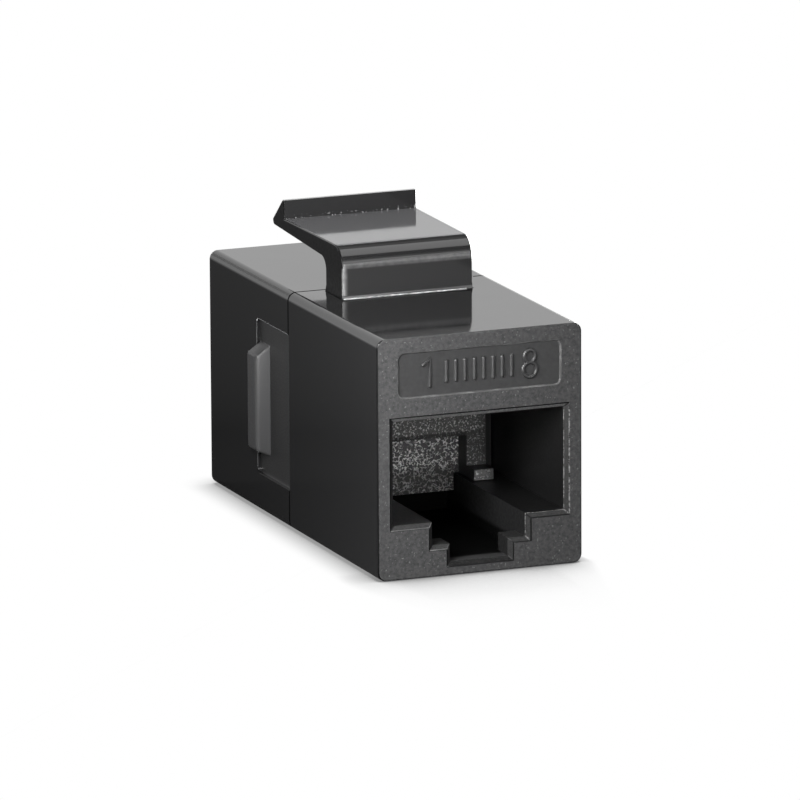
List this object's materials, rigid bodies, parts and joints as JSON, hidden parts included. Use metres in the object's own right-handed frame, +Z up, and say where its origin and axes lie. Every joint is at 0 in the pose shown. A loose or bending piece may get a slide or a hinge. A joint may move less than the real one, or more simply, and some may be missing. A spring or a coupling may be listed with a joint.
{
  "type": "ethernet keystone coupler",
  "caption": "Black inline network coupler with a stepped plug port at each end and a sprung latch on top that clips it into a keystone panel opening.",
  "frame": {"origin": "middle of the flat underside, half way between the two port faces", "axes": "+Z up towards the latch, -Y out of the near port with the label panel, +Y out of the far port, +X across the width"},
  "size_m": [0.0162, 0.031, 0.021],
  "materials": {
    "casing": "moulded black plastic, polished on top and sides, fine texture on the port faces",
    "insert": "moulded black plastic with a coarse spark texture",
    "contact": "gold plated spring wire",
    "board": "green solder mask"
  },
  "bodies": {
    "casing": {"front_shell": "casing", "rear_shell": "casing", "front_contact_carrier": "insert", "rear_contact_carrier": "insert", "circuit_board": "board", "front_contact_1": "contact", "front_contact_2": "contact", "front_contact_3": "contact", "front_contact_4": "contact", "front_contact_5": "contact", "front_contact_6": "contact", "front_contact_7": "contact", "front_contact_8": "contact", "rear_contact_1": "contact", "rear_contact_2": "contact", "rear_contact_3": "contact", "rear_contact_4": "contact", "rear_contact_5": "contact", "rear_contact_6": "contact", "rear_contact_7": "contact", "rear_contact_8": "contact"},
    "latch": {"release_latch": "casing"}
  },
  "joints": [
    {"name": "latch_press", "type": "hinge", "parent": "casing", "child": "latch", "pos_m": [0, -0.0013, 0.0159], "axis": [-1, 0, 0], "range_deg": [0, 10], "stiffness_Nm_per_rad": 0.1}
  ]
}
